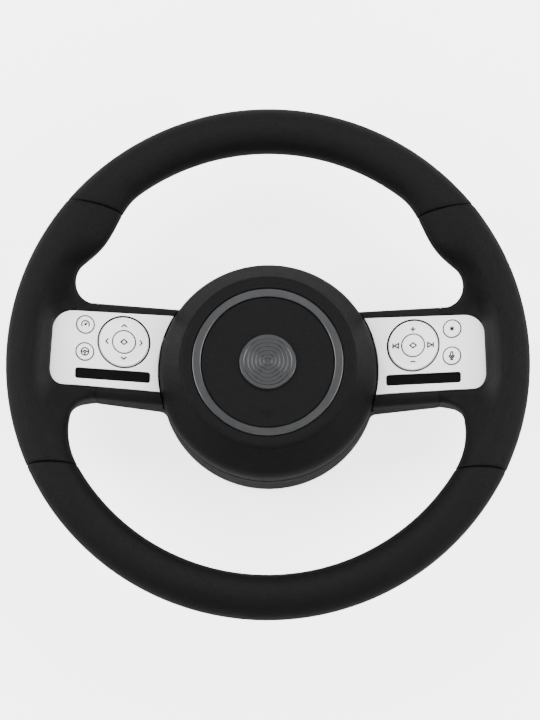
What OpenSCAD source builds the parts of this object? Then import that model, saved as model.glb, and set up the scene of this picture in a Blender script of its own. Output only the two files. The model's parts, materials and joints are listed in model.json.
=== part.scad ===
// Two-spoke car steering wheel lying face up on the rear face of its hub.
// The steering axis is Z, the driver sits at +Z, and +Y is the 12 o'clock side.

/* [Rim] */
// Outside diameter of the rim
rim_d = 370; // [360:1:380]
// Diameter of the leather-covered grip
grip_d = 32.2; // [30:0.1:34]
// Height of the rim's centre plane above the rear face
rim_z = 73; // [71:0.5:76]
// Thickness of the leather
leather_t = 1.3; // [1:0.1:1.8]
// Open width of a leather seam
seam_gap = 0.4; // [0.2:0.1:0.8]
// How far the thumb swell reaches inside the round grip
swell = 9; // [5:0.5:11]
// Angle of the middle of the thumb swell above three o'clock
swell_angle = 36; // [33:1:39]
// Height of the level seam below the steering axis
low_seam_y = 76; // [70:1:84]

/* [Spokes] */
// Distance from the steering axis to the end of the leather on a spoke
root_x = 121.5; // [119:0.5:124]
// Upper edge of a spoke at the end of its leather
spoke_top_y = 46.8; // [45:0.2:50]
// Lower edge of a spoke at the end of its leather
spoke_low_y = -22.5; // [-26:0.2:-21]
// Underside of a spoke at the end of its leather
spoke_low_z = 28; // [26:0.5:30]
// Radius of the window corner above a spoke
upper_fillet = 13.5; // [12:0.5:16]
// Radius of the window corner below a spoke
lower_fillet = 17.5; // [14:0.5:20]

/* [Hub] */
// Radius of the hub at its skirt
hub_r = 77.5; // [76.5:0.1:79]
// Height of the land round the trim ring
hub_top = 76.4; // [75:0.2:78]
// Radius to which the land round the trim ring is level
land_r = 58.6; // [57:0.2:60]
// Height of the parting line between airbag cover and rear cover
parting_z = 35.8; // [34:0.2:38]
// Wall of the airbag cover
cover_wall = 2.8; // [2.2:0.1:3.4]
// Wall of the rear cover
rear_wall = 2.6; // [2:0.1:3]
// Radius of the opening in the rear cover
rear_open_r = 36; // [30:1:40]
// Travel of the airbag module when the horn is pressed
horn_travel = 1.5; // [1:0.1:1.8]

/* [Trim] */
// Outer radius of the trim ring
ring_r = 53.2; // [51:0.1:54]
// Width of the trim ring
ring_w = 5.7; // [4.5:0.1:6.5]
// Radius of the medallion
badge_r = 20; // [15:0.5:24]

/* [Switches] */
// Distance of a four-way ring from the steering axis
pad_x = 102.4; // [101:0.2:104]
// Height of a four-way ring above the horizontal diameter
pad_y = 18.3; // [17:0.1:20]
// Height of the bezel's face at the four-way ring
pad_z = 55; // [54:0.5:57]
// Slope of the bezel, rising toward the rim
pad_tilt = 11; // [9:0.5:12]
// Radius of the four-way ring
rocker_r = 18; // [17:0.1:18.4]
// Radius of the centre button
center_r = 7.9; // [7:0.1:8.5]
// Radius of a small button
button_r = 6; // [5.5:0.1:6.4]
// Gap round a four-way ring
rocker_gap = 0.7; // [0.6:0.1:1]
// Gap round a button
button_gap = 0.4; // [0.3:0.05:0.6]
// Travel of a button
button_travel = 0.8; // [0.5:0.1:1]
// Radius of a gimbal pin
pivot_r = 0.9; // [0.8:0.05:1.1]
// Running clearance of a gimbal pin
pivot_gap = 0.05; // [0.03:0.01:0.08]

/* [Armature] */
// Radius of the pilot bore for the steering shaft
pilot_r = 9.5; // [9:0.1:10.5]
// Length of the pilot bore
pilot_len = 10; // [8:1:12]
// Number of serrations in the shaft bore
serrations = 36; // [30:1:40]
// Thickness of the hub plate
plate_t = 7; // [6:0.5:8]
// Width of an armature spoke
spar_w = 28; // [24:1:32]
// Thickness of an armature spoke
spar_t = 9; // [8:0.5:10]
// Radius of a guide pin of the airbag module
pin_r = 3; // [2.5:0.1:3.4]

/* [Hidden] */

$fn = 64;
eps = 0.01;
glue = 0.25;
reach = 400;

rim_r = rim_d / 2;
grip_r = grip_d / 2;
core_r = rim_r - grip_r;
rim_in = rim_r - grip_d;

// Leather seams as angles at the outer and the inner side of the grip
up_seam_out = 38.9;
up_seam_in = 45.3;
function low_seam_out(t) = -asin(low_seam_y / (rim_r - t));
function low_seam_in(t) = -asin(low_seam_y / (rim_in + t));

upper_c = [root_x + 2, spoke_top_y + upper_fillet];
lower_c = [root_x, spoke_low_y - lower_fillet];
fillet_from = 50;
up_corner = upper_c + upper_fillet * [cos(fillet_from), sin(fillet_from)];
low_corner = [root_x + lower_fillet, lower_c[1]];
up_corner_a = atan2(up_corner[1], up_corner[0]);
low_corner_a = atan2(low_corner[1], low_corner[0]);
swell_half = 17;

// Angles at the outside of the rim between the runs of ribs that turn into a spoke,
// and the share of that turn that lies before the window corner
run_a = [25, 9, 0, -16.5];
lead = 0.35;

// The grip's surface falls from its crown to the spoke over these lengths
crown_drop = 20;
belly_drop = 45;
edge_top_r = 6;
edge_low_r = 10;

// Bezel outline about the centre of the four-way ring
bezel_top = 20.9;
bezel_low = -32.5;
bezel_low_hub = -34.8;
bezel_out = 52.7;
bezel_lean = 1.4;
bezel_hub = -40;
bezel_top_corner = 15;
bezel_low_corner = 10;
bezel_skin = 2;
bezel_skirt = 4;
bezel_wall = 1.5;
bezel_proud = 0.8;
bezel_gap = 0.4;
hub_gap = 0.8;
slot_c = [7.6, -24.4];
slot_l = 54;
slot_w = 8;
slot_turn = 0.9;
upper_at = [27.9, 11.2];
lower_at = [27.9, -8.5];

// Stations of the switch unit along the bezel's normal
pivot_w = -5.2;
board_top = -11.6;
board_t = 1.6;
floor_w = -15;
floor_t = 1.6;
spar_top_w = -16.5;
tray = [-22, 38.5, -20.4, 19];
tray_r = 4;
tray_wall = 1.4;
tray_top = -8.2;
posts = [[-19.5, 16.6], [-19.5, -16.2], [36, 16.6], [36, -16.2]];
leg_r = 3.6;
ear_in = 13.6;
ear_t = 1.4;
legs = [[-15, -5.3], [21, -5.3]];

// Levels of the hub, upward from the rear face
plate_low = 24;
plate_top = plate_low + plate_t;
boss_low = 6;
can_floor = 46;
can_t = 1.6;
can_r = 46;
can_top = 66;
stud_at_r = can_r - 12;
stud_angles = [45:90:315];
flange_r = 59;
cover_low = parting_z + horn_travel + 0.5;
disc_z = hub_top - 0.5;
groove_z = hub_top - 2.2;
cover_roof = 71.3;
cone_a = 32.5;
land_round = 5.5;
skirt_round = 19;
skirt_z = 46;
spar_y = pad_y - 5.3;
pin_at_r = 52;
pin_angles = [90, 210, 330];
post_at_r = 50;
post_angles = [60, 120, 240, 300];

function arc(c, r, a0, a1, n) = [for (k = [0:n]) let (a = a0 + (a1 - a0) * k / n)
    c + r * [cos(a), sin(a)]];
function between(a, b, t) = a + (b - a) * t;
function ease(t) = let (s = min(1, max(0, t))) (1 + cos(180 * s)) / 2;
function rounding(d, r) = let (s = 1 - min(1, max(0, d / r))) r * (1 - sqrt(1 - s * s));

// Height of the frame that the bezel lies in, above a point of the spoke
function frame_z(x) = pad_z + (x - pad_x) * tan(pad_tilt) - bezel_proud;

// Inner edge of the grip, seen along the steering axis
function thumb_edge(a) = let (near = rim_in - norm(up_corner), off = a - swell_angle)
    rim_in - (off < 0 ? near + (swell - near) * cos(90 * off / (swell_angle - up_corner_a))
        : off < swell_half ? swell * pow(cos(90 * off / swell_half), 2) : 0);
function heel_edge(a) = let (s = (low_corner_a - a) / (low_corner_a - low_seam_in(0)))
    rim_in - (rim_in - norm(low_corner)) * pow(1 - s, 2);

// A rib is [outer angle, inner edge point, share of spoke]; t insets it from the surface
top_ribs = 14;
low_ribs = 20;
swell_ribs = 9;
corner_ribs = 7;
face_ribs = 5;
heel_ribs = 6;
function swell_rib(k, t) = let (s = k / swell_ribs, a = between(up_seam_in, up_corner_a, s))
    [between(up_seam_out, run_a[0], s), (thumb_edge(a) + t) * [cos(a), sin(a)],
     1 - ease(lead * (2 * s - 1))];
function upper_rib(k, t) = let (s = k / corner_ribs, r = upper_fillet + t,
        b = between(fillet_from, -90, s))
    [between(run_a[0], run_a[1], s), upper_c + r * [cos(b), sin(b)],
     1 - ease(between(lead, 1, s))];
function face_rib(k, t) = let (s = k / face_ribs, y0 = upper_c[1] - upper_fillet - t,
        y1 = lower_c[1] + sqrt(pow(lower_fillet + t, 2) - t * t))
    [between(run_a[1], run_a[2], s), [root_x + t, between(y0, y1, s)], 1];
function lower_rib(k, t) = let (s = k / corner_ribs, r = lower_fillet + t,
        b = acos(t / r) * (1 - s))
    [between(run_a[2], run_a[3], s), lower_c + r * [cos(b), sin(b)], ease((1 - lead) * s)];
function heel_rib(k, t) = let (s = k / heel_ribs, a = between(low_corner_a, low_seam_in(t), s))
    [between(run_a[3], low_seam_out(t), s), (heel_edge(a) + t) * [cos(a), sin(a)],
     ease(between(1 - lead, 1, s / 0.6))];
function thumb_ribs(t) = [
    for (k = [0:swell_ribs - 1]) swell_rib(k, t),
    for (k = [0:corner_ribs - 1]) upper_rib(k, t),
    for (k = [0:face_ribs - 1]) face_rib(k, t),
    for (k = [0:corner_ribs - 1]) lower_rib(k, t),
    for (k = [0:heel_ribs]) heel_rib(k, t)];
function top_rib(s, t) = let (a = between(up_seam_in, 180 - up_seam_in, s),
        b = min(a, 180 - a))
    [between(up_seam_out, 180 - up_seam_out, s), (thumb_edge(b) + t) * [cos(a), sin(a)], 0];

// Where the line from p to q first meets a circle about the steering axis
function on_circle(p, q, r) = let (d = q - p, a = d * d, b = 2 * (p * d), c = p * p - r * r)
    p + d * (-b - sqrt(b * b - 4 * a * c)) / (2 * a);
function spoke_depth(p, t) = min(norm(p - upper_c) - upper_fillet - t,
    norm(p - lower_c) - lower_fillet - t);

// Angles round a section, outer half first, then the spoke side from top to bottom
outer_half = [for (a = [270:-30:90]) a];
inner_half = [80, 70, 58, 46, 33, 20, 7, -7, -20, -35, -50, -70];
wall_a = 20;
// Where the surface slopes, an inset of t needs more than t of height
function slope_room(t, f) = 4 * t * f * (1 - f);
function spoke_top(p, q, t) = let (f = ease(q / crown_drop),
        z = frame_z(p[0]) - t - rounding(spoke_depth(p, t), edge_top_r))
    between(z, rim_z + grip_r - t, f) - 2 * slope_room(t, f);
function spoke_low(p, q, t) = let (f = ease(q / belly_drop),
        z = spoke_low_z + t + rounding(spoke_depth(p, t), edge_low_r))
    between(z, rim_z - grip_r + t, f) + 0.6 * slope_room(t, f);
function section(rib, t) = let (o = (rim_r - t) * [cos(rib[0]), sin(rib[0])], e = rib[1],
        c = on_circle(o, e, core_r), len = norm(e - c), w = rib[2], g = grip_r - t)
    [for (a = outer_half) let (p = between(c, o, abs(cos(a)))) [p[0], p[1], rim_z + g * sin(a)],
     for (a = inner_half) let (
        flat = min(1, cos(a) / cos(wall_a)),
        p = between(c, e, between(cos(a), flat, w)),
        q = flat * len,
        ps = between(c, e, flat),
        top = spoke_top(ps, q, t),
        low = spoke_low(ps, q, t),
        side = a > wall_a ? 1 : a < -wall_a ? 0 : (a + wall_a) / (2 * wall_a),
        z = between(rim_z + g * sin(a), between(low, top, side), w)
            - 2 * slope_room(t, w) * sin(a))
        [p[0], p[1], z]];
ring_n = len(outer_half) + len(inner_half);

function flip(pts) = [for (p = pts) [-p[0], p[1], p[2]]];
function joined(rings) = [for (r = rings) each r];
// Quads between ring k and the next one, on the side that faces out
function walls(count, n, base, out) = [for (k = [0:count - 2], j = [0:n - 1])
    let (a = base + k * n, b = a + n, m = (j + 1) % n)
    each out ? [[a + j, b + j, b + m], [a + j, b + m, a + m]]
        : [[a + j, b + m, b + j], [a + j, a + m, b + m]]];
// A closed skin between an outer and an inner stack of rings
function skin_faces(count, n) = let (o = count * n, last = (count - 1) * n)
    concat(walls(count, n, 0, true), walls(count, n, o, false),
        [for (j = [0:n - 1]) let (m = (j + 1) % n) [j, m, o + m, o + j]],
        [for (j = [0:n - 1]) let (m = (j + 1) % n)
            [last + j, o + last + j, o + last + m, last + m]]);

module skin(outer, inner) {
    polyhedron(points = joined(concat(outer, inner)), faces = skin_faces(len(outer), ring_n));
}

module pad_place() {
    translate([pad_x, pad_y, pad_z]) rotate([0, -pad_tilt, 0]) children();
}

module both_sides() {
    children();
    mirror([1, 0, 0]) children();
}

function bezel_outline(o) = concat(
    [[bezel_hub, bezel_low_hub - o], [bezel_out - bezel_low_corner, bezel_low - o]],
    arc([bezel_out - bezel_low_corner, bezel_low + bezel_low_corner], bezel_low_corner + o, -90, 0, 8),
    arc([bezel_out - bezel_lean - bezel_top_corner, bezel_top - bezel_top_corner],
        bezel_top_corner + o, 0, 90, 8),
    [[bezel_hub, bezel_top + o]]);

function round_box(x0, x1, y0, y1, r) = concat(
    arc([x1 - r, y0 + r], r, -90, 0, 6), arc([x1 - r, y1 - r], r, 0, 90, 6),
    arc([x0 + r, y1 - r], r, 90, 180, 6), arc([x0 + r, y0 + r], r, 180, 270, 6));

module slot_shape(grow) {
    translate(slot_c) rotate(slot_turn)
        polygon(round_box(-slot_l / 2 - grow, slot_l / 2 + grow, -slot_w / 2 - grow,
            slot_w / 2 + grow, 2 + grow));
}

module tray_shape(grow) {
    polygon(round_box(tray[0] - grow, tray[1] + grow, tray[2] - grow, tray[3] + grow,
        tray_r + grow));
}

// Room for the bezel and the switch housing in the spoke
module switch_room() {
    pad_place() {
        translate([0, 0, -bezel_skirt - bezel_gap]) linear_extrude(grip_d)
            polygon(bezel_outline(bezel_gap));
        translate([0, 0, floor_w - bezel_gap]) linear_extrude(grip_d) tray_shape(bezel_gap);
        translate([0, 0, -9]) linear_extrude(9) slot_shape(1.6);
        for (p = legs) translate([p[0], p[1], spar_top_w - 7])
            cylinder(r = leg_r + bezel_gap, h = 9);
    }
}

// Side profile of an armature spoke, from the hub plate out to the rim core
ramp_x = 143;
spar_wall = 3.5;
spar_roof = 4.5;
function spar_top(x) = pad_z + (x - pad_x) * tan(pad_tilt) + spar_top_w / cos(pad_tilt);
core_w = 12;
core_h = 10;
core_low = rim_z - core_h / 2;
core_in = core_r - core_w / 2;
spar_profile = [[40, spar_top(40)], [ramp_x, spar_top(ramp_x)], [core_in - 1, core_low],
    [core_in + core_w, core_low], [core_in + core_w, core_low - 4],
    [ramp_x + 1.5, spar_top(ramp_x) - 2], [ramp_x - 6, spar_top(ramp_x - 6) - spar_t],
    [40, spar_top(40) - spar_t]];

module spar(grow) {
    translate([0, spar_y + spar_w / 2 + grow, 0]) rotate([90, 0, 0])
        linear_extrude(spar_w + 2 * grow) polygon(spar_profile);
}

module rim_core() {
    color("silver") rotate_extrude($fn = 180) translate([core_r, rim_z]) difference() {
        square([core_w, core_h], center = true);
        translate([0, -3]) square([core_w - 7, core_h], center = true);
    }
}

module on_circle_at(radius, angles) {
    for (a = angles) translate([radius * cos(a), radius * sin(a), 0]) children();
}

module shaft_bore() {
    translate([0, 0, boss_low - 1]) cylinder(r = pilot_r, h = pilot_len + 1);
    tooth = 360 / serrations;
    translate([0, 0, boss_low]) linear_extrude(plate_top - boss_low)
        polygon([for (k = [0:serrations - 1]) for (s = [[0, 0.9], [0.3, 0.9], [0.5, 0], [0.8, 0]])
            (pilot_r - 1.8 + s[1]) * [cos((k + s[0]) * tooth), sin((k + s[0]) * tooth)]]);
    translate([0, 0, plate_top - 4]) cylinder(r = 15, h = 5);
}

module armature() {
    color("silver") difference() {
        union() {
            translate([0, 0, plate_low]) cylinder(r = flange_r - 1, h = plate_t);
            translate([0, 0, boss_low]) cylinder(r1 = 17, r2 = 22, h = plate_low - boss_low + 1);
            both_sides() spar(0);
        }
        rim_core();
        shaft_bore();
        on_circle_at(pin_at_r, pin_angles) translate([0, 0, plate_low - 1])
            cylinder(r = pin_r + 0.08, h = plate_t + 2);
        on_circle_at(post_at_r, post_angles) translate([0, 0, plate_low - 1])
            cylinder(r = 2.05, h = plate_t + 2);
        // Lightening windows of the hub plate
        for (a = [75, 105, 255, 285]) rotate(a) translate([36, 0, plate_low - 1])
            cylinder(r = 6.5, h = plate_t + 2);
        // The spokes are open channels underneath, with a rib at the middle
        both_sides() pad_place() for (u = [[-38, -10], [-6, 27]])
            translate([u[0], -5.3 - spar_w / 2 + spar_wall, spar_top_w - spar_roof - 20])
            cube([u[1] - u[0], spar_w - 2 * spar_wall, 20]);
        both_sides() pad_place() for (p = legs) translate([p[0], p[1], spar_top_w - spar_t - 2])
            cylinder(r = 1.8, h = spar_t + 3);
    }
}

module rim_foam() {
    t = leather_t + glue;
    low_t = t + 0.35;
    ribs = thumb_ribs(t);
    right = [for (k = [0:len(ribs) - 2]) section(ribs[k], t)];
    top = [for (k = [top_ribs - 1:-1:1]) section(top_rib(k / top_ribs, t), t)];
    low = [for (k = [0:low_ribs]) let (
        a = between(low_seam_out(low_t), -180 - low_seam_out(low_t), k / low_ribs),
        b = between(low_seam_in(low_t), -180 - low_seam_in(low_t), k / low_ribs))
        section([a, (rim_in + low_t) * [cos(b), sin(b)], 0], low_t)];
    left = [for (k = [len(right) - 1:-1:0]) flip(right[k])];
    rings = concat(right, low, left, top);
    count = len(rings);
    left_from = len(right) + len(low);
    left_to = left_from + len(left) - 2;
    color("dimgray") difference() {
        polyhedron(points = joined(rings),
            faces = [for (k = [0:count - 1], j = [0:ring_n - 1])
                let (a = k * ring_n, b = ((k + 1) % count) * ring_n, m = (j + 1) % ring_n)
                each k >= left_from && k <= left_to
                    ? [[a + j, b + j, a + m], [b + j, b + m, a + m]]
                    : [[a + j, b + j, b + m], [a + j, b + m, a + m]]]);
        rim_core();
        both_sides() {
            spar(0);
            switch_room();
        }
    }
}

module leather_top() {
    n = top_ribs;
    cut = seam_gap / (rim_r * PI * (90 - up_seam_out) / 90);
    stations = [for (k = [n:-1:0]) min(1 - cut, max(cut, k / n))];
    color("#1c1c1d") skin([for (s = stations) section(top_rib(s, 0), 0)],
        [for (s = stations) section(top_rib(s, leather_t), leather_t)]);
}

module leather_bottom() {
    color("#1c1c1d") intersection() {
        rotate_extrude($fn = 180) translate([core_r, rim_z]) difference() {
            circle(grip_r);
            circle(grip_r - leather_t);
        }
        translate([-reach / 2, -reach - low_seam_y - seam_gap, 0])
            cube([reach, reach, reach]);
    }
}

module thumb_leather() {
    color("#1c1c1d") difference() {
        skin([for (r = thumb_ribs(0)) section(r, 0)],
            [for (r = thumb_ribs(leather_t)) section(r, leather_t)]);
        switch_room();
        spar(0.3);
    }
}

// Cross-section of a spoke arm at a distance from the steering axis
function arm_slope(a, b) = (b - a) / (root_x - 60);
function arm_section(x, t) = let (
        top = spoke_top_y - t + (x - root_x) * arm_slope(45.5, spoke_top_y),
        low = spoke_low_y + t + (x - root_x) * arm_slope(-25.5, spoke_low_y),
        roof = frame_z(x) - t,
        base = spoke_low_z + t + (x - root_x) / 3,
        ra = edge_top_r - t / 2, rb = edge_low_r - t)
    concat(arc([top - ra, roof - ra], ra, 0, 90, 5), arc([low + ra, roof - ra], ra, 90, 180, 5),
        arc([low + rb, base + rb], rb, 180, 270, 6), arc([top - rb, base + rb], rb, 270, 360, 6));

module arm_slice(x, t) {
    translate([x, 0, 0]) rotate([90, 0, 90]) linear_extrude(eps) polygon(arm_section(x, t));
}

module arm(x0, x1, t) {
    hull() {
        arm_slice(x0, t);
        arm_slice(x1, t);
    }
}

// Concave corner between the hub and a level spoke edge at y, on the side given
module hub_corner(y, side, z0, z1, r) {
    cy = y + side * r;
    cx = sqrt(pow(hub_r - 0.6 + r, 2) - cy * cy);
    touch = [cx, cy] * (hub_r - 0.6) / (hub_r - 0.6 + r);
    translate([0, 0, z0]) linear_extrude(z1 - z0) difference() {
        polygon([touch, [cx, y], [cx, y - side * 4], [touch[0] - 4, y - side * 4]]);
        translate([cx, cy]) circle(r);
    }
}

module rear_cover() {
    wall = rear_wall;
    foot = 6;
    waist = hub_r - 1.3;
    color("#26272a") difference() {
        union() {
            rotate_extrude($fn = 180) polygon(concat([[0, 0]],
                arc([waist - foot, foot], foot, -90, 0, 8), [[hub_r, parting_z], [0, parting_z]]));
            both_sides() {
                arm(hub_r - 17.5, root_x - seam_gap, 0);
                hub_corner(spoke_low_y - 1.8, -1, 22, parting_z, 8);
                hub_corner(spoke_top_y - 0.6, 1, 14, parting_z, 8);
            }
        }
        difference() {
            rotate_extrude($fn = 180) polygon(concat([[0, wall]],
                arc([waist - foot, foot], foot - wall, -90, 0, 6),
                [[hub_r - wall, parting_z + 1], [0, parting_z + 1]]));
            on_circle_at(post_at_r, post_angles) cylinder(r = 4.6, h = plate_low);
        }
        both_sides() {
            arm(hub_r - 11.5, root_x, wall);
            switch_room();
        }
        translate([0, 0, parting_z]) cylinder(r = hub_r + hub_gap, h = reach / 4, $fn = 180);
        translate([0, 0, -1]) cylinder(r = rear_open_r, h = plate_low);
        on_circle_at(post_at_r, post_angles) translate([0, 0, -1]) {
            cylinder(r = 2.2, h = plate_low + 2);
            cylinder(r = 4.2, h = 4);
        }
    }
}

module rear_cover_screws() {
    color("gray") on_circle_at(post_at_r, post_angles) {
        translate([0, 0, 0.6]) difference() {
            cylinder(r = 3.9, h = 2.4);
            translate([0, 0, -eps]) cylinder(r = 1.8, h = 1.4, $fn = 6);
        }
        translate([0, 0, 3]) cylinder(r = 2, h = plate_low + 3);
    }
}

// What the flat ends of a bezel lose where they fall away toward the grip and the hub;
// out moves the start of a fall outward, down lowers it
module end_falls(out, down) {
    for (f = [[44.3, 5.6, -20.7, 6], [-33.4, 17.8, 200.5, 9]])
        translate([f[0], f[1], -down]) rotate(f[2]) translate([out, -70, 0])
            rotate([0, f[3], 0]) cube([40, 140, 20]);
}

module bezel() {
    color("whitesmoke") difference() {
        pad_place() difference() {
            translate([0, 0, -bezel_skirt]) linear_extrude(bezel_skirt) polygon(bezel_outline(0));
            difference() {
                translate([0, 0, -bezel_skirt - 1]) linear_extrude(bezel_skirt + 1 - bezel_skin)
                    polygon(bezel_outline(-bezel_wall));
                translate([0, 0, -bezel_skirt - 1]) linear_extrude(bezel_skirt) slot_shape(1.4);
                end_falls(3, bezel_skin);
            }
            translate([0, 0, -bezel_skirt - 1]) {
                cylinder(r = rocker_r + rocker_gap, h = 10);
                for (p = [upper_at, lower_at]) translate(p)
                    cylinder(r = button_r + button_gap, h = 10);
            }
            translate([0, 0, -bezel_skirt - 1]) linear_extrude(10) slot_shape(0);
            end_falls(0, 0);
            // The lower lip falls away from the face
            translate([-60, -29.6, 0]) rotate([-25, 0, 0.9]) translate([0, -20, 0])
                cube([130, 20, 20]);
        }
        cylinder(r = hub_r + hub_gap, h = reach / 2, $fn = 180);
    }
}

module slot_inlay() {
    color("#0c0c0d") pad_place() translate([0, 0, -bezel_skirt]) linear_extrude(bezel_skirt - 0.9)
        translate(slot_c) rotate(slot_turn)
        polygon(round_box(-slot_l / 2 + 0.1, slot_l / 2 - 0.1, -slot_w / 2 + 0.1,
            slot_w / 2 - 0.1, 1.9));
}

module switch_housing() {
    color("#303234") pad_place() difference() {
        union() {
            difference() {
                translate([0, 0, floor_w]) linear_extrude(tray_top - floor_w) tray_shape(0);
                translate([0, 0, floor_w + floor_t]) linear_extrude(20) tray_shape(-tray_wall);
            }
            for (p = posts) translate([p[0], p[1], floor_w + floor_t - eps])
                cylinder(r = 2, h = -bezel_skin - floor_w - floor_t + eps);
            for (s = [-1, 1]) translate([s * (ear_in + ear_t / 2) - ear_t / 2, -2.4, floor_w + 1])
                cube([ear_t, 4.8, pivot_w - floor_w + 1]);
            for (p = legs) translate([p[0], p[1], spar_top_w])
                cylinder(r = leg_r, h = floor_w - spar_top_w + 1);
        }
        translate([0, 0, pivot_w]) rotate([0, 90, 0])
            cylinder(r = pivot_r + pivot_gap, h = 40, center = true);
        for (p = legs) translate([p[0], p[1], spar_top_w - 1]) cylinder(r = 1.5, h = 9);
    }
}

module switch_board() {
    color("darkgreen") pad_place() difference() {
        union() {
            translate([0, 0, board_top - board_t]) linear_extrude(board_t) tray_shape(-tray_wall - 0.3);
            for (a = [0:90:270]) rotate(a) translate([16.3, 0, board_top + 2])
                cube([2.2, 4.4, 4.3], center = true);
            for (p = [upper_at, lower_at, [0, 0]]) translate([p[0], p[1], board_top])
                cube([5, 5, 0.6], center = true);
        }
        for (p = posts) translate([p[0], p[1], board_top - 3]) cylinder(r = 2.3, h = 9);
        for (s = [-1, 1]) translate([s * (ear_in + ear_t / 2), 0, board_top - 1])
            cube([ear_t + 0.4, 5.4, 8], center = true);
        for (p = legs) translate([p[0], p[1], board_top - 4]) cylinder(r = 2.2, h = 5);
    }
}

module housing_screws() {
    color("gray") both_sides() pad_place() for (p = legs) translate([p[0], p[1], 0]) {
        translate([0, 0, spar_top_w - 4.5]) cylinder(r = 1.45, h = 9);
        translate([0, 0, spar_top_w - 6.2]) cylinder(r = 3, h = 1.7);
    }
}

module cradle() {
    out_r = 13.2;
    color("lightgray") pad_place() translate([0, 0, pivot_w]) {
        difference() {
            cylinder(r = out_r, h = 2.4, center = true);
            cylinder(r = 10.7, h = 4, center = true);
        }
        for (s = [-1, 1]) {
            translate([s * (out_r - 0.8), 0, 0]) rotate([0, s * 90, 0]) cylinder(r = pivot_r, h = 2.9);
            translate([0, s * (out_r - 0.8), 0]) rotate([-s * 90, 0, 0]) cylinder(r = pivot_r, h = 4.6);
        }
    }
}

module rocker() {
    bore = center_r + button_gap;
    skirt_low = pivot_w - 1.4;
    color("whitesmoke") pad_place() difference() {
        rotate_extrude($fn = 96) polygon(concat(
            [[bore, -5], [bore, 0.1]],
            [[bore + 0.3, 0.35], [rocker_r - 3, 0.1]],
            arc([rocker_r - 1.6, -0.9], 1.6, 75, 0, 5),
            [[rocker_r - 0.3, skirt_low], [rocker_r - 1.9, skirt_low], [rocker_r - 1.9, -2],
             [bore + 1.5, -2], [bore + 1.5, -5]]));
        translate([0, 0, pivot_w]) rotate([90, 0, 0])
            cylinder(r = pivot_r + pivot_gap, h = 40, center = true);
    }
}

module center_button() {
    color("whitesmoke") pad_place() rotate_extrude($fn = 72) polygon(concat(
        [[0, 0.3], [center_r - 1.6, 0.55]],
        arc([center_r - 0.6, -0.05], 0.6, 75, 0, 4),
        [[center_r, -5.05], [center_r + 1, -5.05], [center_r + 1, -5.9], [3, -5.9],
         [2.4, -10.1], [0, -10.1]]));
}

module small_button(at) {
    lip = -bezel_skin - 0.05;
    color("whitesmoke") pad_place() translate([at[0], at[1], 0]) rotate_extrude($fn = 60)
        polygon(concat([[0, 0.55]], arc([button_r - 0.7, -0.15], 0.7, 80, 0, 4),
            [[button_r, lip], [button_r + 1.1, lip], [button_r + 1.1, lip - 1.4], [2.2, lip - 1.4],
             [1.8, -10.4], [0, -10.4]]));
}

module horn_contact_lower() {
    color("goldenrod") translate([0, -pin_at_r + 1, plate_top]) {
        cylinder(r = 5, h = 2);
        cylinder(r = 2.5, h = can_floor - plate_top - 2.4 - horn_travel - 0.1);
    }
}

module horn_contact_upper() {
    color("goldenrod") translate([0, -pin_at_r + 1, can_floor - 2.4]) cylinder(r = 3.2, h = 2.4);
}

module airbag_cover() {
    land = [max(land_r, ring_r + 2), hub_top - land_round];
    skirt = [hub_r - skirt_round, skirt_z];
    in_r = skirt_round - cover_wall;
    ring_in = ring_r - ring_w;
    color("#242527") difference() {
        union() {
            rotate_extrude($fn = 180) polygon(concat(
                [[0, disc_z], [ring_in - 1.0, disc_z], [ring_in - 0.2, disc_z - 0.5],
                 [ring_in - 0.2, groove_z], [ring_r + 0.6, groove_z], [ring_r + 0.6, hub_top - 0.3],
                 [ring_r + 1, hub_top]],
                arc(land, land_round, 90, cone_a, 8),
                arc(skirt, skirt_round, cone_a, 0, 8),
                [[hub_r, cover_low], [hub_r - cover_wall, cover_low]],
                arc(skirt, in_r, 0, cone_a, 6),
                [[hub_r - 16, cover_roof], [0, cover_roof]]));
            rotate_extrude($fn = 120) translate([can_r + 0.5, can_floor + 5])
                square([2.4, cover_roof - can_floor - 5 + eps]);
        }
        for (a = [0:60:300]) rotate(a + 30 - 8) translate([0, 0, 56]) rotate_extrude(angle = 16)
            translate([can_r, 0]) square([4, 5]);
    }
}

module trim_ring() {
    color("#8e9093") rotate_extrude($fn = 180) polygon([
        [ring_r - ring_w, groove_z], [ring_r - ring_w, hub_top + 0.2],
        [ring_r - ring_w + 0.5, hub_top + 0.6], [ring_r - 0.5, hub_top + 0.6],
        [ring_r, hub_top + 0.2], [ring_r, groove_z]]);
}

module medallion() {
    color("#8e9093") translate([0, 0, disc_z]) rotate_extrude($fn = 120) polygon(concat(
        [[0, 0], [0, 1.3]],
        [for (k = [1:5]) each [[k * 2.8 - 0.4, 1.3], [k * 2.8, 1.0], [k * 2.8 + 0.4, 1.3]]],
        [[badge_r - 3.4, 1.3], [badge_r - 2.8, 1.8], [badge_r - 0.6, 1.8], [badge_r, 1.2],
         [badge_r, 0]]));
}

module airbag_can() {
    color("#4a4d50") difference() {
        union() {
            rotate_extrude($fn = 120) polygon([[stud_at_r - 4, can_floor], [flange_r, can_floor],
                [flange_r, can_floor + can_t], [can_r, can_floor + can_t], [can_r, can_top],
                [can_r - can_t, can_top], [can_r - can_t, can_floor + can_t],
                [stud_at_r - 4, can_floor + can_t]]);
            for (a = [0:60:300]) rotate(a + 30 - 6) translate([0, 0, 56.6]) rotate_extrude(angle = 12)
                polygon([[can_r - eps, 0], [can_r + 2.2, 1.6], [can_r + 2.2, 3.4], [can_r - eps, 3.4]]);
        }
        on_circle_at(pin_at_r, pin_angles) translate([0, 0, can_floor - 1])
            cylinder(r = pin_r + 0.05, h = 5);
        on_circle_at(stud_at_r, stud_angles) translate([0, 0, can_floor - 1]) cylinder(r = 2.7, h = 5);
    }
}

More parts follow.
